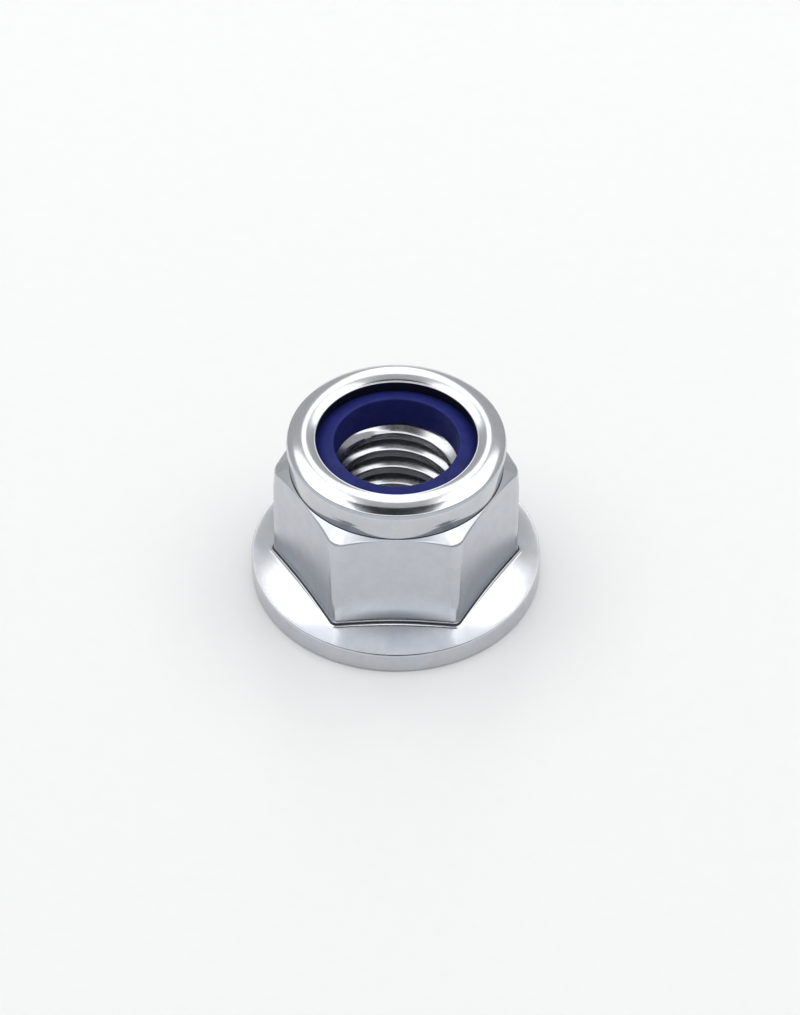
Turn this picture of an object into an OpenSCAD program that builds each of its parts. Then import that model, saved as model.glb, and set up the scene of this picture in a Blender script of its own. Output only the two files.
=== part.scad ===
// Hexagon flange lock nut with a nylon ring held by a rolled collar.
// The origin is at the centre of the seat, with +Z up along the bore, and a flat faces -Y.
// Lengths are in millimetres. The bore is plain at the thread's minor diameter.

/* [Thread] */
// Minor diameter of the internal thread, 5/16 inch with 18 turns to the inch
bore_d = 6.66; // [6.4:0.02:6.9]
// Mouth of the countersink in the seat
seat_csk_d = 8.4; // [7.4:0.05:9]
// Mouth of the countersink under the nylon ring
ring_csk_d = 7.6; // [7.1:0.05:8.2]
// Slope of both countersinks, measured from the seat
csk_angle = 45; // [30:1:60]

/* [Hexagon] */
// Width across the flats
across_flats = 12.7; // [12.4:0.05:13.2]
// Radius along the six upright corners
corner_r = 0.45; // [0.2:0.05:0.9]
// Height of the top of the hexagon above the seat, where the collar starts
hex_h = 8.66; // [8.3:0.02:9]
// Slope of the chamfer on the upper corners, measured from the seat
chamfer_angle = 30; // [20:1:40]

/* [Flange] */
// Outside diameter of the flange
flange_d = 17.27; // [16.4:0.05:18.4]
// Height of the flange at its rim
rim_h = 1.42; // [1:0.02:1.7]
// Radius on both edges of the rim
rim_edge_r = 0.12; // [0.05:0.01:0.2]
// Level band between the rim and the hollow upper face
rim_land = 0.24; // [0.2:0.01:0.6]
// Radius of the hollow upper face, seen in section
dish_r = 5; // [4:0.1:8]

/* [Collar] */
// Overall height of the nut
nut_h = 10.93; // [10.6:0.01:11.4]
// Set-back of the collar's foot from the flats
collar_setback = 0.08; // [0.04:0.01:0.3]
// Widest outside diameter of the collar
collar_d = 12.92; // [12.7:0.02:13.2]
// Outside radius of the rolled shoulder, seen in section
roll_r = 0.7; // [0.55:0.01:0.85]
// Opening in the rolled lip
lip_d = 9.46; // [9:0.02:10.2]
// Thickness of the rolled lip at its edge
lip_t = 0.7; // [0.5:0.01:0.85]
// Drop of the lip's edge below the top of the collar
lip_drop = 0.13; // [0.05:0.01:0.25]
// Radius on the upper edge of the lip
lip_edge_r = 0.1; // [0.04:0.01:0.2]

/* [Nylon ring] */
// Outside diameter of the ring and of its cavity
ring_d = 11.2; // [10.8:0.02:11.4]
// Bore of the ring, smaller than the bolt that it grips
ring_bore_d = 7.33; // [7:0.01:7.7]
// Height of the ring's seat above the seat of the nut
ring_seat_h = 8.44; // [8:0.02:8.9]
// Rise of the ring's bore edge above the face that the lip presses down
ring_rise = 0.34; // [0.1:0.01:0.5]
// Radius on the upper edge of the ring's bore
ring_edge_r = 0.1; // [0.04:0.01:0.2]

/* [Hidden] */
$fn = 96;
// Overlap that joins solids and lets cuts run clear
lap = 0.3;
bore_r = bore_d / 2;
flange_r = flange_d / 2;
dish_start_r = flange_r - rim_land;
// Run of the hollow upper face from its land to a place inside the hexagon, and its height there
dish_run = dish_start_r - across_flats / 2 + lap;
dish_top_h = rim_h + dish_r - sqrt(pow(dish_r, 2) - pow(dish_run, 2));
foot_r = across_flats / 2 - collar_setback;
lip_r = lip_d / 2;
ring_r = ring_d / 2;
ring_bore_r = ring_bore_d / 2;
// Height of the lip's edge, and of the ring's face under the lip
lip_top_h = nut_h - lip_drop;
ring_face_h = lip_top_h - lip_t;
// Centre of the rolled shoulder in section
roll_x = collar_d / 2 - roll_r;
roll_z = nut_h - roll_r;
// Run of the chamfer outwards for one millimetre of fall
chamfer_run = 1 / tan(chamfer_angle);

// Point where a straight line from p touches a circle, on the right of its way from p for side 1.
function touch(p, centre, r, side) =
    let (
        away = p - centre,
        reach = norm(away),
        turn = atan2(away[1], away[0]) + side * acos(r / reach)
    )
    centre + r * [cos(turn), sin(turn)];

// Centre of the circle that rounds one corner of the hexagon
function corner_centre(k) =
    (across_flats / 2 - corner_r) / cos(30) * [cos(60 * k), sin(60 * k)];

// Hexagon with its corners rounded, and one corner on +X
module hexagon_outline() {
    polygon([
        for (k = [0 : 5], side = [-30, 30])
            corner_centre(k) + corner_r * [cos(60 * k + side), sin(60 * k + side)]
    ]);
    for (k = [0 : 5])
        translate(corner_centre(k))
            circle(corner_r);
}

// Section of the flange: a rim with two rounded edges, under a hollow upper face
module flange_section() {
    square([flange_r - rim_edge_r, rim_h]);
    translate([0, rim_edge_r])
        square([flange_r, rim_h - 2 * rim_edge_r]);
    for (z = [rim_edge_r, rim_h - rim_edge_r])
        translate([flange_r - rim_edge_r, z])
            circle(rim_edge_r);
    difference() {
        square([dish_start_r, dish_top_h]);
        translate([dish_start_r, rim_h + dish_r])
            circle(dish_r);
    }
}

// Section of the collar as if solid: a wall that leans out, a rolled shoulder and a falling lip
module collar_section() {
    foot = [foot_r, hex_h];
    centre = [roll_x, roll_z];
    edge = [lip_r + lip_edge_r, lip_top_h];
    polygon([
        [0, hex_h - lap],
        [foot_r, hex_h - lap],
        foot,
        touch(foot, centre, roll_r, 1),
        centre,
        touch(edge, centre, roll_r, -1),
        edge,
        [0, lip_top_h]
    ]);
    translate(centre)
        circle(roll_r);
}

// Prism of the hexagon, its top cut by the cone of the chamfer
module hexagon_prism() {
    intersection() {
        linear_extrude(hex_h + lap)
            hexagon_outline();
        cylinder(
            h = hex_h + lap,
            r1 = foot_r + hex_h * chamfer_run,
            r2 = foot_r - lap * chamfer_run
        );
    }
}

// Section of the opening in the lip, with the lip's upper edge rounded
module lip_opening_section() {
    difference() {
        translate([0, ring_face_h - lap])
            square([lip_r + lip_edge_r, lip_t + 2 * lap]);
        translate([lip_r, ring_face_h - 2 * lap])
            square([2 * lip_edge_r, lip_t + 2 * lap - lip_edge_r]);
        translate([lip_r + lip_edge_r, lip_top_h - lip_edge_r])
            circle(lip_edge_r);
    }
}

// Cut of one countersink that opens downwards at height 0
module countersink(mouth_d) {
    slope = tan(csk_angle);
    mouth_r = mouth_d / 2;
    translate([0, 0, -lap])
        cylinder(
            h = mouth_r * slope + lap,
            r1 = mouth_r + lap / slope,
            r2 = 0
        );
}

// Steel body: flange, hexagon, thread bore and the collar rolled over the ring
module nut_body() {
    color("gainsboro")
        difference() {
            union() {
                rotate_extrude()
                    flange_section();
                hexagon_prism();
                rotate_extrude()
                    collar_section();
            }
            translate([0, 0, -lap])
                cylinder(h = nut_h, r = bore_r);
            countersink(seat_csk_d);
            translate([0, 0, ring_seat_h])
                mirror([0, 0, 1])
                    countersink(ring_csk_d);
            translate([0, 0, ring_seat_h])
                cylinder(h = ring_face_h - ring_seat_h, r = ring_r);
            rotate_extrude()
                lip_opening_section();
        }
}

// Section of the nylon ring: flat below and under the lip, rising to a rounded bore edge
module ring_section() {
    edge_x = ring_bore_r + ring_edge_r;
    edge_z = ring_face_h + ring_rise;
    centre = [edge_x, edge_z - ring_edge_r];
    polygon([
        [ring_bore_r, ring_seat_h],
        [ring_r, ring_seat_h],
        [ring_r, ring_face_h],
        [lip_r, ring_face_h],
        touch([lip_r, ring_face_h], centre, ring_edge_r, 1),
        centre,
        [ring_bore_r, centre[1]]
    ]);
    translate(centre)
        circle(ring_edge_r);
}

// Blue nylon ring
module insert_ring() {
    color("midnightblue")
        rotate_extrude()
            ring_section();
}

nut_body();
insert_ring();
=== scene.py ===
"""Looks of a hexagon flange lock nut: a zinc plated steel body and a blue nylon ring.

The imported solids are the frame. The body and the ring are rebuilt here as closed skins with the
internal thread, the fillets and the softened edges, and dressed with procedural finishes.
The origin is at the centre of the seat, with +Z up. Sizes in the classes are in millimetres.
"""

import logging
import math
from dataclasses import dataclass
from enum import Enum

import bmesh
import bpy
import numpy as np
from mathutils import Matrix, Quaternion, Vector


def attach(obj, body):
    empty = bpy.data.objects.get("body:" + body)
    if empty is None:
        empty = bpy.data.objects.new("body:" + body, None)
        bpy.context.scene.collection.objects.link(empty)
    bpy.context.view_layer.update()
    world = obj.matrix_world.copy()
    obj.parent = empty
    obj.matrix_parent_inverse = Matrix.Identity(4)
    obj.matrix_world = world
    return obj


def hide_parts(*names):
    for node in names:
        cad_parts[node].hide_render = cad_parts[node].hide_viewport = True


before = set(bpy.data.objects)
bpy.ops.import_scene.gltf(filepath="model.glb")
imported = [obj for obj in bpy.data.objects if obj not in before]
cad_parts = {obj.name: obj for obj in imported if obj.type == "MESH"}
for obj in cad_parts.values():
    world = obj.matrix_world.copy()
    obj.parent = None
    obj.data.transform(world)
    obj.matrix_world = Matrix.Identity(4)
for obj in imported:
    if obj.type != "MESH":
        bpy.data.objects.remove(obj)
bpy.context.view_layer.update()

MM = 0.001
MICRON = 1e-6
# Points of a skin that lie closer than this, in metres, are one point
MERGE = 2e-8
# Edges that turn by more than this are shaded as sharp
SHARP = math.radians(38)
# Half the angle from one corner of a hexagon to the next
HALF_SIXTH = math.radians(30)
Array = np.ndarray
Colour = tuple[float, float, float]
Node = bpy.types.Node
Socket = bpy.types.NodeSocket
log = logging.getLogger("flange_lock_nut")


class Zone(Enum):
    """Parts of the steel skin that carry a finish of their own, in the order of its slots."""

    SEAT = 0
    FLANGE = 1
    HEXAGON = 2
    COLLAR = 3
    THREAD = 4
    # Near-black steel: painted shade in the fold under the hexagon, at the collar's foot and on the lip's
    # bore
    BARE = 5
    RIM = 6


# Rows of the steel skin, each part with its zone
Stretches = list[tuple[Array, Zone]]


def straight(start: Array, stop: Array, shares: Array) -> Array:
    """Rows on the straight lines between two rows.

    Formula: start + share * (stop - start), for each share.

    Args:
        start: Azimuth, radius and height of the first row, one column after the other.
        stop: The same for the last row.
        shares: Places of the rows on the way, from 0 to 1.

    Returns:
        The rows, as an array of rows by 3 by columns.
    """
    way = np.asarray(shares, float)[:, None, None]
    return start + way * (stop - start)


def bend(start: Array, corner: Array, stop: Array, count: int) -> Array:
    """Rows of a smooth bend that cuts a corner.

    Formula: (1 - t)^2 start + 2 t (1 - t) corner + t^2 stop, with t in even steps from 0 to 1.

    Args:
        start: Row where the bend leaves the first line.
        corner: Row at which both lines would meet.
        stop: Row where the bend joins the second line.
        count: Number of rows, with both ends.

    Returns:
        The rows, as an array of rows by 3 by columns.
    """
    t = np.linspace(0, 1, count)[:, None, None]
    return (1 - t) ** 2 * start + 2 * t * (1 - t) * corner + t ** 2 * stop


def row(theta: Array, radius: Array | float, height: Array | float) -> Array:
    """One row of a skin, as an array of 3 by columns."""
    return np.stack(np.broadcast_arrays(theta, radius, height)).astype(float)


def rows_at(theta: Array, *places: tuple) -> Array:
    """Rows of a skin at places in its section, each a radius and a height."""
    return np.stack([row(theta, radius, height) for radius, height in places])


def arc(theta: Array, centre: tuple, radius: float, turn: tuple, count: int) -> Array:
    """Rows of a circular arc in the section.

    Formula: centre + radius * (cos turn, sin turn), with the turn in even steps.

    Args:
        theta: Azimuth of each column.
        centre: Radius and height of the circle's centre, each a number or one for each column.
        radius: Radius of the circle.
        turn: First and last turn, from the outward direction upwards, in radians, likewise.
        count: Number of rows, with both ends.

    Returns:
        The rows, as an array of rows by 3 by columns.
    """
    share = np.linspace(0, 1, count)[:, None]
    angle = turn[0] + share * (turn[1] - turn[0])
    r = centre[0] + radius * np.cos(angle)
    z = centre[1] + radius * np.sin(angle)
    return np.stack(np.broadcast_arrays(theta, r, z), axis=1)


def touch_turn(point: tuple, centre: tuple, radius: float, side: int) -> float:
    """Turn at which a straight line from a point touches a circle.

    Args:
        point: Radius and height of the point.
        centre: Radius and height of the circle's centre.
        radius: Radius of the circle.
        side: 1 for the touch on the right of the way from the point, -1 for the left.

    Returns:
        The turn in radians.
    """
    away = (point[0] - centre[0], point[1] - centre[1])
    return math.atan2(away[1], away[0]) + side * math.acos(radius / math.hypot(*away))


def ease(x: Array) -> Array:
    """Smooth rise from 0 at x = 0 to 1 at x = 1, level beyond both."""
    t = np.clip(x, 0, 1)
    return t * t * (3 - 2 * t)


def soft_positive(x: Array, width: float) -> Array:
    """The larger of x and 0, with the corner between them rounded over a width."""
    return 0.5 * (x + np.sqrt(x * x + width * width))


def to_points(rows: Array) -> Array:
    """Points in metres of rows that hold azimuth, radius and height in millimetres."""
    theta, r, z = rows[:, 0], rows[:, 1], rows[:, 2]
    points = np.stack([r * np.cos(theta), r * np.sin(theta), z], axis=-1)
    return points.reshape(-1, 3) * MM


def ring_faces(rows: int, columns: int, lead: int = 0, closed: bool = False) -> Array:
    """Four-sided faces of a grid that goes all the way round.

    Args:
        rows: Number of rows.
        columns: Number of columns, the last of which joins the first.
        lead: Rows by which the last column joins the first one higher up, for a screw thread.
        closed: Whether the last row joins the first.

    Returns:
        The corners of each face, as an array of faces by 4, and row by row.
    """
    last = rows if closed else rows - 1
    j, i = np.meshgrid(np.arange(last), np.arange(columns), indexing="ij")
    step = np.where(i == columns - 1, lead, 0)
    near = j * columns + i
    far = (j + 1) % rows * columns + i
    i_next = (i + 1) % columns
    near_next = (j + step) * columns + i_next
    far_next = ((j + 1) % rows + step) * columns + i_next
    faces = np.stack([near, near_next, far_next, far], axis=-1).reshape(-1, 4)
    return faces[(faces < rows * columns).all(axis=1)]


def add_object(name: str, data: bpy.types.ID) -> bpy.types.Object:
    """Makes an object from its data and links it to the scene."""
    made = bpy.data.objects.new(name, data)
    bpy.context.scene.collection.objects.link(made)
    return made


def make_piece(name: str, points: Array, faces: Array, zones: Array | None = None) -> bpy.types.Object:
    """Makes one closed, smoothly shaded object from points and faces.

    Doubled points are merged, which also closes the ends of a thread, and faces are turned outwards.

    Args:
        name: Name of the object and its mesh.
        points: Points in metres.
        faces: Four corners of each face.
        zones: Finish slot of each face, or None where there is only one.

    Returns:
        The object, linked to the scene.
    """
    mesh = bpy.data.meshes.new(name)
    mesh.from_pydata(points.tolist(), [], faces.tolist())
    if zones is not None:
        mesh.polygons.foreach_set("material_index", zones.astype(np.int32))
    skin = bmesh.new()
    skin.from_mesh(mesh)
    bmesh.ops.remove_doubles(skin, verts=skin.verts, dist=MERGE)
    bmesh.ops.recalc_face_normals(skin, faces=skin.faces)
    skin.to_mesh(mesh)
    skin.free()
    mesh.polygons.foreach_set("use_smooth", np.ones(len(mesh.polygons), bool))
    mesh.set_sharp_from_angle(angle=SHARP)
    mesh.update()
    return add_object(name, mesh)


@dataclass(frozen=True)
class ScrewThread:
    """Right-hand internal thread, 5/16 inch with 18 turns to the inch."""

    major_r: float = 3.969
    minor_r: float = 3.33
    pitch: float = 25.4 / 18
    crest_z: float = 6.317
    crest_azimuth: float = math.pi / 2
    # Width over which the edges of crest and root are rounded
    edge: float = 0.05
    # Slope of each flank, and the root's share of the pitch
    flank: float = math.radians(30)
    root_share: float = 1 / 8
    # Rows beside the edge of the crest and beside the edge of the root, as distances from it
    crest_rows: tuple[float, ...] = (-0.05, -0.022, 0.0, 0.022, 0.06, 0.13)
    root_rows: tuple[float, ...] = (-0.1, -0.05, -0.02, 0.0, 0.03)

    def flank_width(self) -> float:
        """Width of one flank, measured along the bore."""
        return (self.major_r - self.minor_r) * math.tan(self.flank)

    def crest_half(self) -> float:
        """Half the width of the level crest, left between two flanks and the root."""
        return (self.pitch * (1 - self.root_share) - 2 * self.flank_width()) / 2

    def radius(self, theta: Array, z: Array) -> Array:
        """Radius of the thread's surface.

        Formula: t is the height above or below the nearest crest, and the surface lies at the minor
        radius plus (|t| - half crest) / tan(flank), held between 0 and the thread's depth with soft
        corners.

        Args:
            theta: Azimuth of each point.
            z: Height of each point.

        Returns:
            The radius at each point.
        """
        turns = (z - self.crest_z) / self.pitch - (theta - self.crest_azimuth) / (2 * math.pi)
        t = np.abs(turns - np.round(turns)) * self.pitch
        rise = (t - self.crest_half()) / math.tan(self.flank)
        depth = self.major_r - self.minor_r
        return self.minor_r + soft_positive(rise, self.edge) - soft_positive(rise - depth, self.edge)

    def steps(self) -> Array:
        """Heights of the rows of one turn above its crest, close together along the four edges."""
        crest = self.crest_half()
        root = crest + self.flank_width()
        up = np.concatenate([
            [0, crest / 2],
            crest + np.array(self.crest_rows),
            [(crest + root) / 2],
            root + np.array(self.root_rows),
        ])
        return np.concatenate([[-self.pitch / 2], -up[:0:-1], up])


@dataclass
class SteelBody:
    """Cold-formed steel body: flange, hexagon, threaded bore and the collar rolled over the ring."""

    across_flats: float = 12.7
    hex_h: float = 8.66
    chamfer: float = math.radians(30)
    # Columns of half a flat and of one corner, and the power that crowds the former near the corner
    flat_columns: int = 18
    corner_columns: int = 8
    crowding: float = 1.5
    # Rows of the flats, and the share of their height from which the corners grow rounder
    flat_levels: tuple[float, ...] = (
        0.008, 0.06, 0.16, 0.28, 0.4, 0.52, 0.62, 0.7, 0.76,
        0.81, 0.85, 0.885, 0.915, 0.94, 0.96, 0.978, 0.99, 1.0,
    )
    corner_r: float = 0.45
    top_corner_r: float = 0.95
    grow_from: float = 0.78
    # Softened edge of the chamfer and fillet at its other end, as shares of its width with upper limits
    soft_share: float = 0.25
    soft_most: float = 0.14
    setback_share: float = 0.35
    setback_most: float = 0.05
    chamfer_shares: tuple[float, ...] = (0.04, 0.2, 0.5, 0.8, 0.96, 1.0)

    # Flange, with the radii of the rows on its seat and the heights of those on its rim
    flange_r: float = 8.635
    seat_csk_r: float = 4.2
    seat_rows: tuple[float, ...] = (4.26, 5.2, 6.2, 7.2, 8.0, 8.4, 8.49)
    rim_h: float = 1.42
    rim_edge_r: float = 0.12
    rim_rows: tuple[float, ...] = (0.15, 0.4, 0.71, 1.0, 1.24)
    bevel: float = math.radians(24)
    bevel_run: float = 0.09
    bevel_foot_r: float = 0.06
    bevel_top_r: float = 0.03
    dish_inset: float = 0.075
    dish_r: float = 9.0
    dish_slope: float = math.radians(4)

    # Fillet under the hexagon, its fold, whose width is a share of the fillet, and the rows of the fold
    # that are painted near black as shade
    foot_fillet: float = 0.4
    fillet_count: int = 25
    fold_depth: float = 0.06
    fold_width: float = 0.1
    painted_shade_from: int = 10
    painted_shade_to: int = 15

    # Collar: leaning wall with a seam, bow, crease and dome
    nut_h: float = 10.93
    foot_r: float = 6.27
    wall_from: float = 0.03
    wall_count: int = 26
    seam_z: float = 9.32
    seam_depth: float = 0.005
    seam_width: float = 0.07
    collar_r: float = 6.46
    bow_r: float = 1.1
    bow_top: float = math.radians(20)
    bow_count: int = 14
    crease_run: float = 0.03
    dome_r: float = 1.8
    dome_axis_r: float = 5.46
    dome_count: int = 40

    # Lip, with the heights of the rows on its bore above its lower face, and the ring's cavity
    lip_r: float = 4.73
    lip_t: float = 0.7
    lip_drop: float = 0.13
    lip_edge_r: float = 0.1
    lip_rise: float = 0.02
    lip_rows: tuple[float, ...] = (0.58, 0.4, 0.2, 0.08)
    lip_foot_r: float = 0.05
    # Row of the lip from which it is painted near black as shade
    lip_shade_from: int = 6
    cavity_r: float = 5.6
    cavity_z: float = 8.44
    cavity_row_r: float = 4.4
    ring_csk_r: float = 3.8
    thread: ScrewThread = ScrewThread()

    def columns(self) -> tuple[Array, Array, Array]:
        """Places of the columns round the hexagon, in the order of their azimuth.

        Returns:
            For each column, the azimuth of its corner, the turn of the corner's rounding in radians,
            and the share of the way from the end of the rounding to the middle of the flat.
        """
        share = (np.arange(1, self.flat_columns + 1) / self.flat_columns) ** self.crowding
        turn = np.linspace(-HALF_SIXTH, HALF_SIXTH, self.corner_columns + 1)
        turns = np.concatenate([np.full(len(share), turn[0]), turn, np.full(len(share) - 1, turn[-1])])
        shares = np.concatenate([share[::-1], np.zeros(len(turn)), share[:-1]])
        corners = np.radians(np.repeat(np.arange(6) * 60.0, len(turns)))
        return corners, np.tile(turns, 6), np.tile(shares, 6)

    def outline(self, corner_r: float) -> tuple[Array, Array]:
        """Outline of the hexagon, seen from above.

        Formula: a point of a corner's circle of the given radius, moved by its share towards the
        middle of the flat beside it.

        Args:
            corner_r: Radius of the upright corners.

        Returns:
            The azimuth and the radius of each column.
        """
        corner, turn, share = self.columns()
        apothem = self.across_flats / 2
        reach = (apothem - corner_r) / math.cos(HALF_SIXTH)
        middle = corner + np.sign(turn) * HALF_SIXTH
        x = reach * np.cos(corner) + corner_r * np.cos(corner + turn)
        y = reach * np.sin(corner) + corner_r * np.sin(corner + turn)
        x = x + share * (apothem * np.cos(middle) - x)
        y = y + share * (apothem * np.sin(middle) - y)
        theta = np.unwrap(np.arctan2(y, x))
        return theta, np.hypot(x, y)

    def flange_rows(self, theta: Array, wall: Array) -> Stretches:
        """Seat, rim, hollow upper face and the fillet under the hexagon.

        Formula: arcs in the section. The fillet's circle touches the upright wall of the hexagon and
        the circle of the hollow face from inside.

        Args:
            theta: Azimuth of each column.
            wall: Radius of the hexagon at each column.

        Returns:
            Stretches of rows with their zones, from the seat to the foot of the flats.
        """
        edge = self.rim_edge_r
        dish = (
            self.flange_r - self.dish_inset + self.dish_r * math.sin(self.dish_slope),
            self.rim_h + self.dish_r * math.cos(self.dish_slope),
        )
        x = wall + self.foot_fillet
        z = dish[1] - np.sqrt((self.dish_r - self.foot_fillet) ** 2 - (dish[0] - x) ** 2)
        touch = np.arctan2(z - dish[1], x - dish[0])
        down = -math.pi / 2
        fillet = self.fillet_rows(theta, (x, z), touch)
        return [
            (rows_at(theta, *((r, 0.0) for r in (self.seat_csk_r, *self.seat_rows))), Zone.SEAT),
            (arc(theta, (self.flange_r - edge, edge), edge, (down, 0.0), count=7), Zone.RIM),
            (rows_at(theta, *((self.flange_r, z) for z in self.rim_rows)), Zone.RIM),
            (self.rim_top_rows(theta), Zone.FLANGE),
            (arc(theta, dish, self.dish_r, (down - self.dish_slope, touch), count=14), Zone.FLANGE),
            (fillet[1:self.painted_shade_from], Zone.FLANGE),
            # The fold's middle rows are painted near black: painted shade in the crease
            (fillet[self.painted_shade_from:self.painted_shade_to], Zone.BARE),
            (fillet[self.painted_shade_to:], Zone.FLANGE),
        ]

    def fillet_rows(self, theta: Array, centre: tuple[Array, Array], start: Array) -> Array:
        """Fillet under the hexagon, with the fold that forging leaves along its middle.

        Formula: an arc in the section, whose radius grows in the fold by depth * exp(-(s / width)^2),
        where s is the way from the middle, as a share of the arc.

        Args:
            theta: Azimuth of each column.
            centre: Radius and height of the arc's centre at each column.
            start: Angle at which the arc leaves the hollow face, at each column.

        Returns:
            The rows, from the hollow face to the foot of the flats.
        """
        share = np.linspace(0, 1, self.fillet_count)[:, None]
        angle = start + share * (-math.pi - start)
        fold = np.exp(-(((share - 0.5) / self.fold_width) ** 2))
        radius = self.foot_fillet + self.fold_depth * fold
        x = centre[0] + radius * np.cos(angle)
        z = centre[1] + radius * np.sin(angle)
        return np.stack([np.broadcast_to(theta, x.shape), x, z], axis=1)

    def rim_top_rows(self, theta: Array) -> Array:
        """Upper edge of the rim: a narrow steep bevel between two small arcs.

        Formula: arcs and one straight line in the section, tangent where they meet. The bevel's normal
        stands at its angle above the outward direction.

        Args:
            theta: Azimuth of each column.

        Returns:
            The rows, from the upright rim to the edge of the hollow upper face.
        """
        sin, cos = math.sin(self.bevel), math.cos(self.bevel)
        top = (self.flange_r, self.rim_h)
        x = top[0] - self.bevel_foot_r * (1 - cos) - self.bevel_run * sin
        z = top[1] - self.bevel_top_r * (1 - sin) - self.bevel_run * cos
        foot = (top[0] - self.bevel_foot_r, z - self.bevel_foot_r * sin)
        head = (x - self.bevel_top_r * cos, top[1] - self.bevel_top_r)
        return np.concatenate([
            arc(theta, foot, self.bevel_foot_r, (0.0, self.bevel), count=4),
            arc(theta, head, self.bevel_top_r, (self.bevel, math.pi / 2), count=6),
        ])

    def hexagon_rows(self, foot_z: Array, theta: Array) -> Stretches:
        """Flats, softened upper edge and chamfer, up to the fillet at the collar's foot.

        Formula: the flats' outline at each height, with corners that grow rounder near the top. The
        chamfer is the cone through the collar's foot, and the edge between them is a smooth bend
        whose run is a share of the chamfer's width at each column.

        Args:
            foot_z: Height at which the flats start, at each column.
            theta: Azimuth of each column on the round parts.

        Returns:
            Stretches of rows with their zones, from the foot of the flats to the collar.
        """
        fall, run = math.sin(self.chamfer), math.cos(self.chamfer)
        top_theta, top_r = self.outline(self.top_corner_r)
        top_z = self.hex_h - (top_r - self.foot_r) * math.tan(self.chamfer)
        width = (top_r - self.foot_r) / run
        soft = np.minimum(self.soft_share * width, self.soft_most)
        levels = np.array(self.flat_levels)
        growth = ease((levels - self.grow_from) / (1 - self.grow_from))
        outlines = [self.outline(r) for r in self.corner_r + (self.top_corner_r - self.corner_r) * growth]
        flats = np.stack([
            row(t, r, foot_z + level * (top_z - soft - foot_z))
            for (t, r), level in zip(outlines, levels)
        ])
        edge = row(top_theta, top_r, top_z)
        after = row(top_theta, top_r - soft * run, top_z + soft * fall)
        setback = np.minimum(self.setback_share * width, self.setback_most)
        before = row(theta, self.foot_r + setback * run, self.hex_h - setback * fall)
        foot = row(theta, self.foot_r, self.hex_h)
        lean = self.wall_lean()
        up = row(theta, self.foot_r + setback * math.sin(lean), self.hex_h + setback * math.cos(lean))
        return [
            (flats, Zone.HEXAGON),
            (bend(flats[-1], edge, after, count=8)[1:], Zone.HEXAGON),
            (straight(after, before, np.array(self.chamfer_shares)), Zone.HEXAGON),
            # The bend at the collar's foot is painted near black: painted shade in the crease
            (bend(before, foot, up, count=6)[1:], Zone.BARE),
        ]

    def crease(self) -> tuple[float, float]:
        """Radius and height of the crease, where the bow of the wall meets the dome's arc."""
        x = self.collar_r - self.bow_r * (1 - math.cos(self.bow_top))
        return x, self.nut_h - self.dome_r + math.sqrt(self.dome_r**2 - (x - self.dome_axis_r) ** 2)

    def bow_centre(self) -> tuple[float, float]:
        """Centre of the wall's upper bow in the section."""
        x, z = self.crease()
        return x - self.bow_r * math.cos(self.bow_top), z - self.bow_r * math.sin(self.bow_top)

    def wall_lean(self) -> float:
        """Lean of the collar's wall outwards from the upright, in radians."""
        return -touch_turn((self.foot_r, self.hex_h), self.bow_centre(), self.bow_r, 1)

    def dome_rows(self, theta: Array) -> Array:
        """Rows of the wall's upper bow, the crease and the domed top, up to the lip.

        Formula: two circular arcs in the section with a smooth bend between them. The wider arc is
        level at the nut's full height.

        Args:
            theta: Azimuth of each column.

        Returns:
            The rows.
        """
        centre = (self.dome_axis_r, self.nut_h - self.dome_r)
        x, z = self.crease()
        low = self.bow_top - self.crease_run / self.bow_r
        outer = math.acos((x - self.dome_axis_r) / self.dome_r) + self.crease_run / self.dome_r
        inner = math.acos((self.lip_r + self.lip_edge_r - self.dome_axis_r) / self.dome_r)
        bow = arc(theta, self.bow_centre(), self.bow_r, (-self.wall_lean(), low), self.bow_count)
        dome = arc(theta, centre, self.dome_r, (outer, inner), self.dome_count)
        crease = bend(bow[-1], row(theta, x, z), dome[0], count=7)
        return np.concatenate([bow, crease[1:], dome[1:]])

    def collar_rows(self, theta: Array, start: Array) -> Stretches:
        """Leaning wall, domed top, lip and the cavity that holds the ring.

        Formula: straight lines, smooth bends and arcs in the section. The wall has a shallow dip at
        the seam that forming leaves, of the shape exp(-((z - seam) / width)^2).

        Args:
            theta: Azimuth of each column.
            start: Row at the foot of the wall.

        Returns:
            Stretches of rows with their zones, from the collar's foot to the floor of the cavity.
        """
        dome = self.dome_rows(theta)
        wall = straight(start, dome[0], np.linspace(self.wall_from, 1, self.wall_count))
        wall[:, 1] -= self.seam_depth * np.exp(-(((wall[:, 2] - self.seam_z) / self.seam_width) ** 2))
        edge = row(theta, self.lip_r, dome[-1, 2] + self.lip_rise)
        under = self.nut_h - self.lip_drop - self.lip_t
        bore = rows_at(theta, *((self.lip_r, under + z) for z in self.lip_rows))
        lip = bend(dome[-1], edge, bore[0], count=9)
        foot = rows_at(
            theta,
            (self.lip_r, under + self.lip_foot_r),
            (self.lip_r, under),
            (self.lip_r + self.lip_foot_r, under),
        )
        crest = self.thread.radius(theta, np.full(len(theta), self.cavity_z))
        floor_r = np.maximum(self.ring_csk_r, crest)
        return [
            (wall, Zone.COLLAR),
            (dome[1:], Zone.COLLAR),
            (lip[1:self.lip_shade_from], Zone.COLLAR),
            # The lip's inner edge and bore over the ring are painted near black: painted shade between the
            # lip and the ring
            (lip[self.lip_shade_from:], Zone.BARE),
            (bore[1:], Zone.BARE),
            (bend(*foot, count=4), Zone.BARE),
            (rows_at(theta, (self.cavity_r, under), (self.cavity_r, self.cavity_z)), Zone.COLLAR),
            (rows_at(theta, (self.cavity_row_r, self.cavity_z), (floor_r, self.cavity_z)), Zone.THREAD),
        ]

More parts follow.
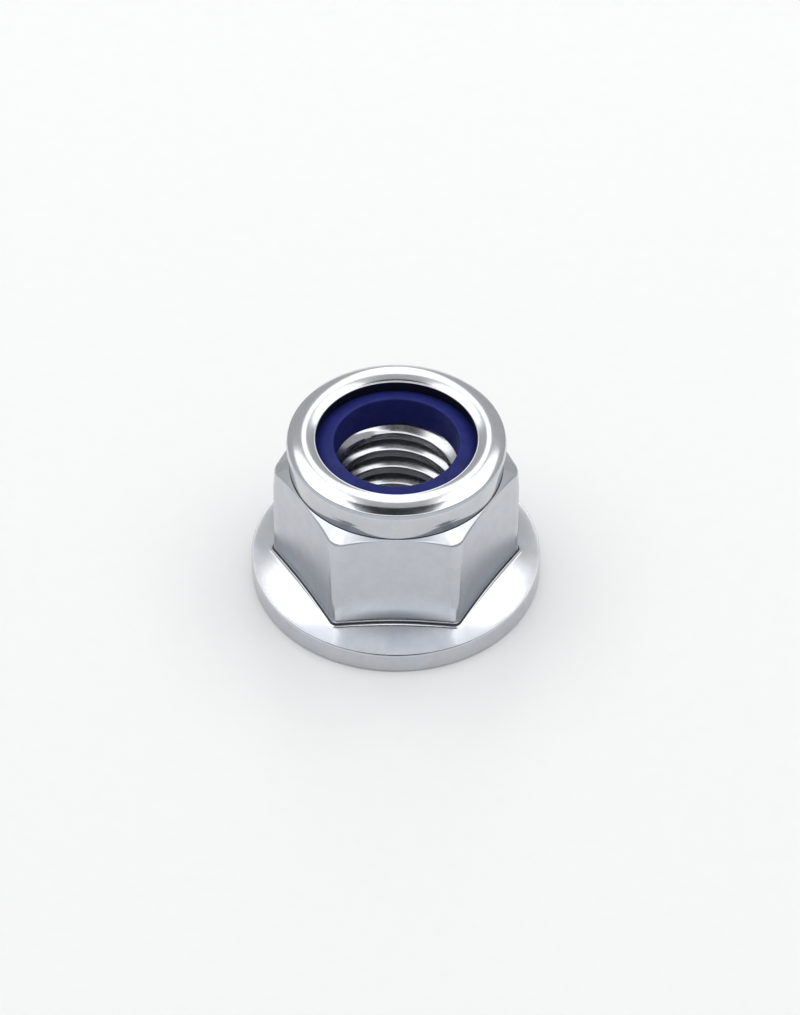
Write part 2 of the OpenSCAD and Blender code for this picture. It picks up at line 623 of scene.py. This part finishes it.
    def thread_grid(self, theta: Array) -> tuple[Array, Array]:
        """Threaded bore with both countersinks.

        Formula: each row climbs by one pitch a turn, so it stays at one place of the thread's profile.
        Heights are held between the seat and the cavity's floor, and the radius is the largest of
        the thread and the two 45 degree cones.

        Args:
            theta: Azimuth of each column.

        Returns:
            The points in metres, and the faces, from the seat upwards.
        """
        thread = self.thread
        steps = thread.steps()
        low = thread.crest_z + thread.pitch * (theta[0] - thread.crest_azimuth) / (2 * math.pi)
        # The turns reach past the seat and past the cavity's floor
        first = math.floor((-1.5 * thread.pitch - low) / thread.pitch)
        turns = first + np.arange(math.ceil(self.cavity_z / thread.pitch) + 4)
        heights = (low + turns[:, None] * thread.pitch + steps).reshape(-1)
        z = heights[:, None] + thread.pitch * (theta - theta[0]) / (2 * math.pi)
        z = np.clip(z, 0, self.cavity_z)
        angle = np.broadcast_to(theta, z.shape)
        cones = np.maximum(self.seat_csk_r - z, self.ring_csk_r - (self.cavity_z - z))
        r = np.maximum(thread.radius(angle, z), cones)
        rows = np.stack([angle, r, z], axis=1)
        return to_points(rows), ring_faces(len(heights), len(theta), lead=len(steps))

    def build(self) -> bpy.types.Object:
        """Makes the body's closed skin.

        Returns:
            The object, not yet dressed.
        """
        theta, wall = self.outline(self.corner_r)
        stretches = self.flange_rows(theta, wall)
        foot_z = stretches[-1][0][-1, 2]
        stretches += self.hexagon_rows(foot_z, theta)
        stretches += self.collar_rows(theta, stretches[-1][0][-1])
        rows = np.concatenate([part for part, _ in stretches])
        zones = np.concatenate([np.full(len(part), zone.value) for part, zone in stretches])
        outside = ring_faces(len(rows), len(theta))
        bore_points, bore_faces = self.thread_grid(theta)
        points = np.concatenate([to_points(rows), bore_points])
        faces = np.concatenate([outside, bore_faces[:, ::-1] + len(rows) * len(theta)])
        bore_slots = np.full(len(bore_faces), Zone.THREAD.value)
        slots = np.concatenate([np.repeat(zones[1:], len(theta)), bore_slots])
        return make_piece("zinc_body", points, faces, slots)

    def dress(self, piece: bpy.types.Object, groups: "SurfaceGroups") -> None:
        """Gives each zone its finish.

        Args:
            piece: The body's object.
            groups: The shared effects.
        """
        finishes = {
            Zone.SEAT: ZincFinish("zinc_turned_seat", roughness=0.3, marks=9.0, marks_um=1.6),
            Zone.FLANGE: ZincFinish("zinc_forged_flange", roughness=0.17, grain_um=0.7),
            # Colours darker than the plain zinc: painted shade on the flats
            Zone.HEXAGON: ZincFinish(
                "zinc_forged_hexagon", light=(0.59, 0.605, 0.64), deep=(0.535, 0.552, 0.586),
                roughness=0.31, spread=0.02, grain_um=0.6, rubbed=0.4,
            ),
            # Colours darker than the plain zinc: painted shade on the rim
            Zone.RIM: ZincFinish(
                "zinc_turned_rim", light=(0.6, 0.613, 0.645), deep=(0.53, 0.546, 0.578),
                roughness=0.24, grain_um=0.8,
            ),
            # Near-black colour standing in for the shade in the fold, at the collar's foot and on the
            # lip's bore: painted shade
            Zone.BARE: ZincFinish(
                "painted_shade_steel", light=(0.07, 0.072, 0.082), deep=(0.045, 0.047, 0.055),
                blue=(0.05, 0.054, 0.064), roughness=0.4,
            ),
            # Colours a little darker than the plain zinc: painted shade on the collar
            Zone.COLLAR: ZincFinish(
                "zinc_rolled_collar", light=(0.62, 0.634, 0.66), deep=(0.565, 0.58, 0.605),
                roughness=0.14, grain_um=0.3, marks=4.0, marks_um=0.2,
            ),
            # Colours darker than the plain zinc: painted shade inside the bore
            Zone.THREAD: ZincFinish(
                "zinc_cut_thread_painted_shade", light=(0.52, 0.53, 0.55), deep=(0.46, 0.47, 0.49),
                roughness=0.16, grain_um=0.3, marks=14.0, marks_um=0.4,
            ),
        }
        for zone in Zone:
            piece.data.materials.append(finishes[zone].material(groups))


@dataclass
class NylonRing:
    """Blue nylon locking ring, trapped under the rolled lip."""

    outer_r: float = 5.59
    bore_r: float = 3.665
    bottom_z: float = 8.45
    face_z: float = 10.09
    lip_r: float = 4.73
    top_z: float = 10.44
    edge_r: float = 0.1
    crown: float = 0.025
    # Bevels of the outer edges and of the bore's lower edge, and the gap from the free face to the lip
    corner: float = 0.06
    foot_corner: float = 0.05
    lip_gap: float = 0.04
    # Height of the first row of the bore under its rounded edge
    bore_top: float = 10.3
    columns: int = 240

    def build(self) -> bpy.types.Object:
        """Makes the ring's closed skin.

        Formula: its section turned about the axis. The free face rises from the lip to the bore's
        rounded edge on a straight line with a low crown of the shape 4 s (1 - s).

        Returns:
            The object, not yet dressed.
        """
        theta = np.arange(self.columns) * 2 * math.pi / self.columns
        centre = (self.bore_r + self.edge_r, self.top_z - self.edge_r)
        turn = touch_turn((self.lip_r, self.face_z), centre, self.edge_r, 1)
        edge = arc(theta, centre, self.edge_r, (turn, math.pi), count=12)
        share = np.linspace(0, 1, 18)
        face = straight(row(theta, self.lip_r, self.face_z), edge[0], share)
        face[:, 2] += self.crown * (4 * share * (1 - share))[:, None]
        outside = rows_at(
            theta,
            (self.bore_r, self.bottom_z + self.foot_corner),
            (self.bore_r + self.foot_corner, self.bottom_z),
            (self.outer_r - self.corner, self.bottom_z),
            (self.outer_r, self.bottom_z + self.corner),
            (self.outer_r, self.face_z - self.corner),
            (self.outer_r - self.corner, self.face_z),
            (self.lip_r + self.lip_gap, self.face_z),
        )
        heights = np.linspace(self.bore_top, self.bottom_z + 2 * self.foot_corner, 10)
        bore = rows_at(theta, *((self.bore_r, z) for z in heights))
        rows = np.concatenate([outside, face, edge[1:], bore])
        return make_piece("nylon_ring", to_points(rows), ring_faces(len(rows), self.columns, closed=True))


class Wiring:
    """Adds nodes to one node tree and joins their sockets."""

    def __init__(self, tree: bpy.types.NodeTree) -> None:
        """Empties the tree and keeps it."""
        tree.nodes.clear()
        self.tree = tree

    def add(self, kind: str, values: dict[str, object] | None = None, **settings: object) -> Node:
        """Adds a node, and sets its properties and the values of its inputs."""
        node = self.tree.nodes.new(kind)
        for name, value in settings.items():
            setattr(node, name, value)
        for name, value in (values or {}).items():
            node.inputs[name].default_value = value
        return node

    def join(self, source: Socket, target: Socket) -> None:
        """Joins an output to an input."""
        self.tree.links.new(source, target)

    def object_place(self) -> Socket:
        """Adds the place on the object, in metres."""
        return self.add("ShaderNodeTexCoord").outputs["Object"]

    def split(self, vector: Socket) -> tuple[Socket, ...]:
        """Adds a split of a vector and returns its X, Y and Z."""
        node = self.add("ShaderNodeSeparateXYZ")
        self.join(vector, node.inputs[0])
        return tuple(node.outputs)

    def surface(self, shader: Node) -> None:
        """Joins a shader to the surface of the material."""
        self.join(shader.outputs[0], self.add("ShaderNodeOutputMaterial").inputs["Surface"])

    def math(self, operation: str, a: object, b: object = 0.0) -> Socket:
        """Adds a Math node.

        Args:
            operation: Name of the operation.
            a: First value, as a number or an output socket.
            b: Second value, likewise.

        Returns:
            The result's socket.
        """
        node = self.add("ShaderNodeMath", operation=operation)
        for value, socket in ((a, node.inputs[0]), (b, node.inputs[1])):
            if isinstance(value, Socket):
                self.join(value, socket)
            else:
                socket.default_value = value
        return node.outputs[0]

    def noise(self, vector: Socket, scale: float, detail: float, rough: float) -> Socket:
        """Adds a Noise Texture on a vector and returns its value."""
        node = self.add("ShaderNodeTexNoise", {"Scale": scale, "Detail": detail, "Roughness": rough})
        self.join(vector, node.inputs["Vector"])
        return node.outputs["Fac"]

    def remap(self, value: Socket, source: tuple, target: tuple) -> Socket:
        """Adds a smooth Map Range from one pair of limits to another."""
        limits = dict(zip(("From Min", "From Max", "To Min", "To Max"), source + target))
        node = self.add("ShaderNodeMapRange", limits, interpolation_type="SMOOTHSTEP")
        self.join(value, node.inputs["Value"])
        return node.outputs["Result"]

    def mix(self, share: Socket, a: object, b: object) -> Socket:
        """Adds a Mix of two colours, each a tuple or an output socket."""
        node = self.add("ShaderNodeMix", data_type="RGBA")
        self.join(share, node.inputs["Factor"])
        for value, name in ((a, "A"), (b, "B")):
            target = [s for s in node.inputs if s.name == name and s.type == "RGBA"][0]
            if isinstance(value, Socket):
                self.join(value, target)
            else:
                target.default_value = (*value, 1.0)
        return [s for s in node.outputs if s.type == "RGBA"][0]


def new_material(name: str) -> tuple[bpy.types.Material, Wiring]:
    """Makes a material with an empty node tree, and returns it with the wiring of that tree."""
    material = bpy.data.materials.new(name)
    material.use_nodes = True
    return material, Wiring(material.node_tree)


class SurfaceGroups:
    """Effects that more than one finish uses, each a shader node group."""

    def __init__(self) -> None:
        """Makes the groups once."""
        self.bloom = self.bloom_group()
        self.turning = self.turning_group()

    @staticmethod
    def start(name: str, outputs: tuple, inputs: tuple = ()) -> tuple[Wiring, Socket, Node, Node]:
        """Starts a group that takes Object coordinates in metres.

        Args:
            name: Name of the group.
            outputs: Names of its outputs, each a value.
            inputs: Names of further inputs, each a value.

        Returns:
            The wiring, the coordinates in millimetres, the node that gives the inputs and the node
            that takes the outputs.
        """
        tree = bpy.data.node_groups.new(name, "ShaderNodeTree")
        tree.interface.new_socket("Vector", in_out="INPUT", socket_type="NodeSocketVector")
        for label in inputs:
            tree.interface.new_socket(label, in_out="INPUT", socket_type="NodeSocketFloat")
        for label in outputs:
            tree.interface.new_socket(label, in_out="OUTPUT", socket_type="NodeSocketFloat")
        wiring = Wiring(tree)
        source = wiring.add("NodeGroupInput")
        scale = wiring.add("ShaderNodeVectorMath", {"Scale": 1 / MM}, operation="SCALE")
        wiring.join(source.outputs["Vector"], scale.inputs[0])
        return wiring, scale.outputs[0], source, wiring.add("NodeGroupOutput")

    def bloom_group(self) -> bpy.types.NodeTree:
        """Cloudy tone, bluish patches and the fine grain of bright plating.

        Returns:
            The group, with the outputs Tone, Patch and Grain, all from 0 to 1.
        """
        w, place, _, out = self.start("plating_bloom", ("Tone", "Patch", "Grain"))
        cloud = w.noise(place, 1.1, 4, 0.6)
        fine = w.noise(place, 6.5, 5, 0.7)
        tone = w.math("ADD", w.math("MULTIPLY", cloud, 0.55), w.math("MULTIPLY", fine, 0.45))
        w.join(w.remap(tone, (0.32, 0.68), (0.0, 1.0)), out.inputs["Tone"])
        patch = w.noise(place, 0.45, 3, 0.55)
        w.join(w.remap(patch, (0.52, 0.72), (0.0, 1.0)), out.inputs["Patch"])
        w.join(w.noise(place, 16.0, 3, 0.6), out.inputs["Grain"])
        return w.tree

    def turning_group(self) -> bpy.types.NodeTree:
        """Fine marks that run round the axis, as a lathe, a roller or a tap leaves them.

        Returns:
            The group, with the input Marks, in marks for each millimetre, and the output Height.
        """
        w, place, source, out = self.start("turning_marks", ("Height",), ("Marks",))
        x, y, z = w.split(place)
        radius = w.math("SQRT", w.math("ADD", w.math("MULTIPLY", x, x), w.math("MULTIPLY", y, y)))
        drift = w.math("MULTIPLY", w.noise(place, 0.35, 2, 0.5), 0.5)
        flat = w.add("ShaderNodeCombineXYZ")
        w.join(w.math("MULTIPLY", radius, source.outputs["Marks"]), flat.inputs[0])
        w.join(w.math("MULTIPLY", z, source.outputs["Marks"]), flat.inputs[1])
        w.join(drift, flat.inputs[2])
        w.join(w.noise(flat.outputs[0], 1.0, 4, 0.65), out.inputs["Height"])
        return w.tree

    @staticmethod
    def place(w: Wiring, tree: bpy.types.NodeTree, values: dict[str, float] | None = None) -> Node:
        """Places a group in a material, on Object coordinates, and sets its other inputs."""
        node = w.add("ShaderNodeGroup", values, node_tree=tree)
        w.join(w.object_place(), node.inputs["Vector"])
        return node


@dataclass(frozen=True)
class Finish:
    """Surface of a cloudy tone, with a grain and with marks that run round the axis.

    Spread is how far the roughness runs to both sides. Marks are counted for each millimetre, and
    the depths of the grain and the marks are in micrometres.
    """

    name: str
    light: Colour
    deep: Colour
    roughness: float
    spread: float = 0.03
    grain_um: float = 0.8
    marks: float = 0.0
    marks_um: float = 0.0
    metallic: float = 0.0
    specular: float = 0.5

    def material(self, groups: SurfaceGroups) -> bpy.types.Material:
        """Makes the material.

        Args:
            groups: The shared effects.

        Returns:
            The material, with colour, roughness and bump from its nodes.
        """
        material, w = new_material(self.name)
        gloss = {"Metallic": self.metallic, "Specular IOR Level": self.specular}
        shader = w.add("ShaderNodeBsdfPrincipled", gloss)
        w.surface(shader)
        bloom = groups.place(w, groups.bloom)
        w.join(self.colour(w, bloom), shader.inputs["Base Color"])
        w.join(self.rough(w, bloom), shader.inputs["Roughness"])
        height = w.math("MULTIPLY", bloom.outputs["Grain"], self.grain_um)
        if self.marks:
            turning = groups.place(w, groups.turning, {"Marks": self.marks})
            height = w.math("ADD", height, w.math("MULTIPLY", turning.outputs["Height"], self.marks_um))
        bump = w.add("ShaderNodeBump", {"Strength": 1.0, "Distance": MICRON})
        w.join(height, bump.inputs["Height"])
        w.join(bump.outputs[0], shader.inputs["Normal"])
        return material

    def colour(self, w: Wiring, bloom: Node) -> Socket:
        """Colour that drifts between the deep and the light one with the tone."""
        return w.mix(bloom.outputs["Tone"], self.deep, self.light)

    def rough(self, w: Wiring, bloom: Node) -> Socket:
        """Roughness that falls as the tone grows lighter."""
        limits = (self.roughness + self.spread, self.roughness - self.spread)
        return w.remap(bloom.outputs["Tone"], (0.0, 1.0), limits)


@dataclass(frozen=True)
class ZincFinish(Finish):
    """Bright zinc plating with a faint blue passivate, on one zone of the body.

    Rubbed is the share of its roughness that the hexagon's corners lose.
    """

    light: Colour = (0.684, 0.698, 0.727)
    deep: Colour = (0.614, 0.632, 0.661)
    roughness: float = 0.25
    metallic: float = 1.0
    blue: Colour = (0.55, 0.603, 0.69)
    blue_share: float = 0.35
    rubbed: float = 0.0

    def colour(self, w: Wiring, bloom: Node) -> Socket:
        """Colour of the plating, which turns bluish in patches."""
        share = w.math("MULTIPLY", bloom.outputs["Patch"], self.blue_share)
        return w.mix(share, super().colour(w, bloom), self.blue)

    def rough(self, w: Wiring, bloom: Node) -> Socket:
        """Roughness of the plating, lower on corners that are rubbed."""
        rough = super().rough(w, bloom)
        if not self.rubbed:
            return rough
        rub = w.math("MULTIPLY", self.corner_rub(w), self.rubbed * self.roughness)
        return w.math("SUBTRACT", rough, rub)

    @staticmethod
    def corner_rub(w: Wiring) -> Socket:
        """Mask that rises towards the six corners, which rub smooth in handling.

        Formula: the cosine of six times the azimuth, from 0.9 to 1, on a corner.
        """
        x, y, _ = w.split(w.object_place())
        turn = w.math("ARCTAN2", y, x)
        return w.remap(w.math("COSINE", w.math("MULTIPLY", turn, 6.0)), (0.9, 1.0), (0.0, 1.0))


@dataclass(frozen=True)
class NylonFinish(Finish):
    """Dark blue nylon, cut from tube, with faint turning marks and a cloudy depth."""

    name: str = "nylon_dark_blue"
    light: Colour = (0.0185, 0.0265, 0.183)
    deep: Colour = (0.0115, 0.016, 0.128)
    roughness: float = 0.45
    spread: float = 0.06
    grain_um: float = 1.0
    marks: float = 7.0
    marks_um: float = 3.0
    specular: float = 0.15


@dataclass(frozen=True)
class SoftBox:
    """Flat soft light, which faces the nut or hangs level. Lengths are in metres.

    The level is how bright its face is, and the spin turns it about the upright, in degrees. One
    that doesn't light matt surfaces shows only in what the steel reflects.
    """

    name: str
    place: tuple[float, float, float]
    size: tuple[float, float]
    level: float
    spin: float = 0.0
    level_hung: bool = False
    oval: bool = False
    lights_matt: bool = True

    def hang(self) -> None:
        """Adds the lamp, at the power that makes its face as bright as its level."""
        data = bpy.data.lights.new(self.name, "AREA")
        data.shape = "ELLIPSE" if self.oval else "RECTANGLE"
        data.size, data.size_y = self.size
        area = data.size * data.size_y * (math.pi / 4 if self.oval else 1.0)
        data.energy = self.level * math.pi * area
        lamp = add_object(self.name, data)
        lamp.location = self.place
        facing = Vector((0, 0, 1) if self.level_hung else self.place).to_track_quat("Z", "Y")
        lamp.rotation_euler = (Quaternion((0, 0, 1), math.radians(self.spin)) @ facing).to_euler()
        lamp.visible_camera = False
        lamp.visible_diffuse = self.lights_matt


SOFT_BOXES = (
    SoftBox("left_box", (-0.29, 0.138, 0.5), (0.38, 0.665), 1.48, -12.0, level_hung=True),
    SoftBox("right_box", (0.29, 0.138, 0.5), (0.38, 0.665), 1.48, 12.0, level_hung=True),
    SoftBox("back_box", (0.0, 0.583, 0.33), (0.17, 0.56), 1.4, oval=True),
    SoftBox("front_box", (0.0, -0.489, 0.582), (0.9, 0.72), 1.0, lights_matt=False),
)


@dataclass
class Studio:
    """Camera, pale floor and soft light. Lengths here are in metres."""

    distance: float = 0.2895
    look_z: float = 0.004825
    elevation: float = math.radians(44.677)
    yaw: float = math.radians(0.046)
    pitch: float = math.radians(0.032)
    roll: float = math.radians(0.326)
    lens: float = 173.06
    floor_r: float = 3.0
    floor_columns: int = 96
    room: float = 0.56
    card_reach: float = 0.44

    def camera(self) -> None:
        """Puts the camera where the photograph was taken from."""
        sin, cos = math.sin(self.elevation), math.cos(self.elevation)
        ahead = Vector((0, cos, -sin))
        up = Vector((0, sin, cos))
        right = Vector((1, 0, 0))
        place = Vector((0, -self.distance * cos, self.look_z + self.distance * sin))
        ahead, right = self.turn(ahead, right, self.yaw)
        ahead, up = self.turn(ahead, up, self.pitch)
        right, up = self.turn(right, up, self.roll)
        data = bpy.data.cameras.new("camera")
        data.sensor_width = 36
        data.lens = self.lens
        data.clip_start = 0.01
        camera = add_object("camera", data)
        camera.matrix_world = Matrix.Translation(place) @ Matrix((right, up, -ahead)).transposed().to_4x4()
        bpy.context.scene.camera = camera

    @staticmethod
    def turn(a: Vector, b: Vector, angle: float) -> tuple[Vector, Vector]:
        """Turns the first vector towards the second, and the second away from the first."""
        cos, sin = math.cos(angle), math.sin(angle)
        return a * cos + b * sin, b * cos - a * sin

    def floor(self) -> None:
        """Lays the floor: a disc under the bore and a wide ring from just inside the rim.

        It is open under the seat, and clear when seen from below, so that the seat shows there.
        """
        columns = self.floor_columns
        theta = np.arange(columns) * 2 * math.pi / columns
        disc_r = (0.001, 4.15)
        ring_r = (8.4, 30.0, 150.0, self.floor_r / MM)
        just_under_seat = -0.01
        rows = rows_at(theta, *((r, just_under_seat) for r in disc_r + ring_r))
        disc = ring_faces(len(disc_r), columns)
        ring = ring_faces(len(ring_r), columns) + len(disc_r) * columns
        faces = np.concatenate([disc, ring])[:, ::-1]
        mesh = bpy.data.meshes.new("floor")
        mesh.from_pydata(to_points(rows).tolist(), [], faces.tolist())
        if mesh.polygons[0].normal.z < 0:
            mesh.flip_normals()
        floor = add_object("floor", mesh)
        material, w = new_material("pale_floor")
        paper = w.add("ShaderNodeBsdfPrincipled", {"Roughness": 0.9, "Specular IOR Level": 0.0})
        grain = w.noise(w.object_place(), 900.0, 2, 0.5)
        w.join(w.mix(grain, (0.93, 0.93, 0.93), (0.955, 0.955, 0.955)), paper.inputs["Base Color"])
        mixer = w.add("ShaderNodeMixShader")
        w.join(w.add("ShaderNodeNewGeometry").outputs["Backfacing"], mixer.inputs[0])
        w.join(paper.outputs[0], mixer.inputs[1])
        w.join(w.add("ShaderNodeBsdfTransparent").outputs[0], mixer.inputs[2])
        w.surface(mixer)
        mesh.materials.append(material)

    def cards(self) -> None:
        """Hangs two dark cards, which only show in what the steel reflects.

        Formula: patches of a sphere about the nut. The top card fills the gap between the soft boxes
        and narrows towards the back. The low card lies just above the floor near the nut, stands up
        low beyond it, and goes from one side round the front to the other.
        """
        over = np.radians(np.linspace(72, 104, 15))[:, None]
        across = np.linspace(-0.4, 0.4, 9) * np.linspace(1, 0.7, 15)[:, None]
        top = np.stack(np.broadcast_arrays(across, -np.cos(over), np.sin(over)), -1)
        self.card("top_card", self.card_reach * top, 0, (0.07, 0.17))
        turn = np.radians(np.linspace(-210, 30, 49))
        high = np.radians(np.linspace(1, 24, 9))
        lying = (0.022, 0.04, 0.08, 0.16)
        out = np.concatenate([lying, self.card_reach * np.cos(high)])[:, None]
        up = np.concatenate([np.full(len(lying), 0.0003), self.card_reach * np.sin(high)])[:, None]
        low = np.stack(np.broadcast_arrays(out * np.cos(turn), out * np.sin(turn), up), -1)
        self.card("low_card", low, 2, (0.06, 0.18))

    @staticmethod
    def card(name: str, grid: Array, axis: int, fade: tuple[float, float]) -> None:
        """Makes one dark card, a little bluish, and hides it from all but reflections.

        It is almost black in the middle, and grows paler close to the nut, where it stands for the
        floor, along its fading edge and towards the left and the right.

        Args:
            name: Name of the card.
            grid: Its points in metres, as rows by columns by 3.
            axis: Axis along which it fades, 0 for X and 2 for Z.
            fade: Distances in metres between which it turns from black to the room's grey.
        """
        rows, columns = grid.shape[:2]
        j, i = np.meshgrid(np.arange(rows - 1), np.arange(columns - 1), indexing="ij")
        corner = j * columns + i
        faces = np.stack([corner, corner + 1, corner + columns + 1, corner + columns], -1)
        mesh = bpy.data.meshes.new(name)
        mesh.from_pydata(grid.reshape(-1, 3).tolist(), [], faces.reshape(-1, 4).tolist())
        card = add_object(name, mesh)
        card.visible_camera = False
        card.visible_diffuse = False
        card.visible_shadow = False
        material, w = new_material(name)
        glow = w.add("ShaderNodeEmission", {"Color": (0.88, 0.94, 1.0, 1.0)})
        place = w.object_place()
        away = w.add("ShaderNodeVectorMath", operation="LENGTH")
        w.join(place, away.inputs[0])
        sides = w.split(place)
        near = w.remap(away.outputs["Value"], (0.02, 0.3), (0.8, 0.0))
        edge = w.remap(w.math("ABSOLUTE", sides[axis]), fade, (0.03, 0.5))
        left = w.remap(sides[0], (-0.3, -0.05), (0.42, 0.0))
        right = w.remap(sides[0], (0.05, 0.3), (0.0, 0.3))
        strength = w.math("ADD", w.math("ADD", near, edge), w.math("ADD", left, right))
        w.join(strength, glow.inputs["Strength"])
        w.surface(glow)
        mesh.materials.append(material)

    def light(self) -> None:
        """Hangs the soft boxes and makes the plain pale room round them."""
        for box in SOFT_BOXES:
            box.hang()
        world = bpy.data.worlds.new("studio")
        world.use_nodes = True
        w = Wiring(world.node_tree)
        look = {"Color": (0.992, 0.996, 1.0, 1.0), "Strength": self.room}
        room = w.add("ShaderNodeBackground", look)
        w.join(room.outputs[0], w.add("ShaderNodeOutputWorld").inputs["Surface"])
        bpy.context.scene.world = world

    def build(self) -> None:
        """Sets up the camera, the floor, the cards, the light and the plain view transform."""
        self.camera()
        self.floor()
        self.cards()
        self.light()
        bpy.context.scene.view_settings.view_transform = "Standard"


def report(piece: bpy.types.Object) -> None:
    """Logs a piece's name, size in millimetres and number of faces."""
    size = [round(side / MM, 3) for side in piece.dimensions]
    log.info("%s: %s mm, %d faces", piece.name, size, len(piece.data.polygons))


def main() -> None:
    """Builds the studio, the body and the ring."""
    logging.basicConfig(level=logging.INFO, format="%(name)s %(message)s")
    Studio().build()
    groups = SurfaceGroups()
    body = SteelBody()
    nut = body.build()
    body.dress(nut, groups)
    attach(nut, "root")
    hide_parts("nut_body")
    report(nut)
    ring = NylonRing().build()
    ring.data.materials.append(NylonFinish().material(groups))
    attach(ring, "root")
    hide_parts("insert_ring")
    report(ring)


if __name__ == "__main__":
    main()
